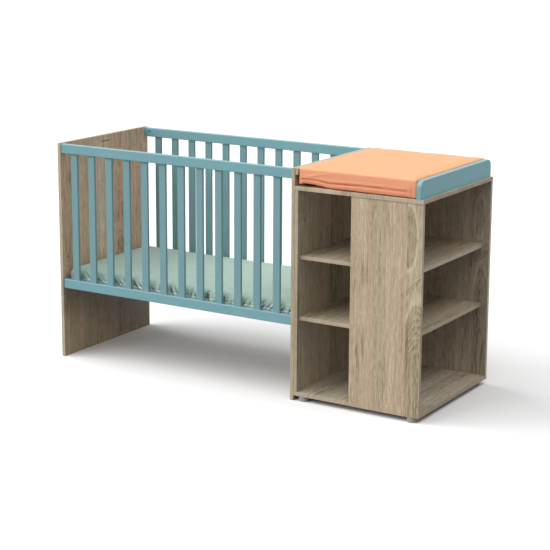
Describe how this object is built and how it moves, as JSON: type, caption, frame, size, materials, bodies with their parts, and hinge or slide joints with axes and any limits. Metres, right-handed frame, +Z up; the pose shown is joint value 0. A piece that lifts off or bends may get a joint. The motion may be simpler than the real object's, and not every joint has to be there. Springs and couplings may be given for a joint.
{
  "type": "crib with attached changer",
  "caption": "Crib with panel ends and barred sides, joined to a changing table with open shelves, guard board, mat and round feet.",
  "frame": {"origin": "on the floor, under the middle of the whole object's box", "axes": "+X along the crib's length, from the crib towards the changer; -Y is the front; +Z up"},
  "size_m": [1.821, 0.657, 0.987],
  "materials": {
    "wood_decor": "light oak decor laminate with edge banding",
    "teal_paint": "satin teal paint on wood",
    "bare_wood": "planed softwood",
    "steel": "zinc plated",
    "grey_plastic": "moulded, matt",
    "mint_sheet": "jersey fitted sheet over the mattress",
    "peach_cover": "terry cover over the mat"
  },
  "bodies": {
    "crib_and_changer": {"left_end_panel": "wood_decor", "right_end_panel": "wood_decor", "changer_left_side": "wood_decor", "changer_rear_panel": "wood_decor", "changer_bottom": "wood_decor", "changer_front_panel": "wood_decor", "changer_top": "wood_decor", "shelf_lower": "wood_decor", "shelf_upper": "wood_decor", "mat_batten": "wood_decor", "front_top_rail": "teal_paint", "front_bottom_rail": "teal_paint", "rear_top_rail": "teal_paint", "rear_bottom_rail": "teal_paint", "front_slat_1": "teal_paint", "front_slat_2": "teal_paint", "front_slat_3": "teal_paint", "front_slat_4": "teal_paint", "front_slat_5": "teal_paint", "front_slat_6": "teal_paint", "front_slat_7": "teal_paint", "front_slat_8": "teal_paint", "front_slat_9": "teal_paint", "front_slat_10": "teal_paint", "front_slat_11": "teal_paint", "front_slat_12": "teal_paint", "rear_slat_1": "teal_paint", "rear_slat_2": "teal_paint", "rear_slat_3": "teal_paint", "rear_slat_4": "teal_paint", "rear_slat_5": "teal_paint", "rear_slat_6": "teal_paint", "rear_slat_7": "teal_paint", "rear_slat_8": "teal_paint", "rear_slat_9": "teal_paint", "rear_slat_10": "teal_paint", "rear_slat_11": "teal_paint", "rear_slat_12": "teal_paint", "guard_board": "teal_paint", "wood_dowels": "bare_wood", "rail_bolts": "steel", "barrel_nuts": "steel", "base_pins": "steel", "cam_bolts": "steel", "cam_locks": "steel", "confirmat_screws": "steel", "wood_screws": "steel", "link_bolts": "steel", "link_nuts": "steel", "foot_front_left": "grey_plastic", "foot_front_right": "grey_plastic", "foot_rear_left": "grey_plastic", "foot_rear_right": "grey_plastic"},
    "mattress_base": {"base_front_rail": "bare_wood", "base_rear_rail": "bare_wood", "base_left_rail": "bare_wood", "base_right_rail": "bare_wood", "base_slats": "bare_wood"},
    "mattress": {"mattress": "mint_sheet"},
    "changing_mat": {"changing_mat": "peach_cover"}
  },
  "joints": [
    {"name": "mattress_base_lift", "type": "slide", "parent": "crib_and_changer", "child": "mattress_base", "axis": [0, 0, 1], "range_m": [0, 0.13]},
    {"name": "mattress_lift", "type": "slide", "parent": "mattress_base", "child": "mattress", "axis": [0, 0, 1], "range_m": [0, 0.68]},
    {"name": "changing_mat_lift", "type": "slide", "parent": "crib_and_changer", "child": "changing_mat", "axis": [0, 0, 1], "range_m": [0, 0.15]}
  ]
}
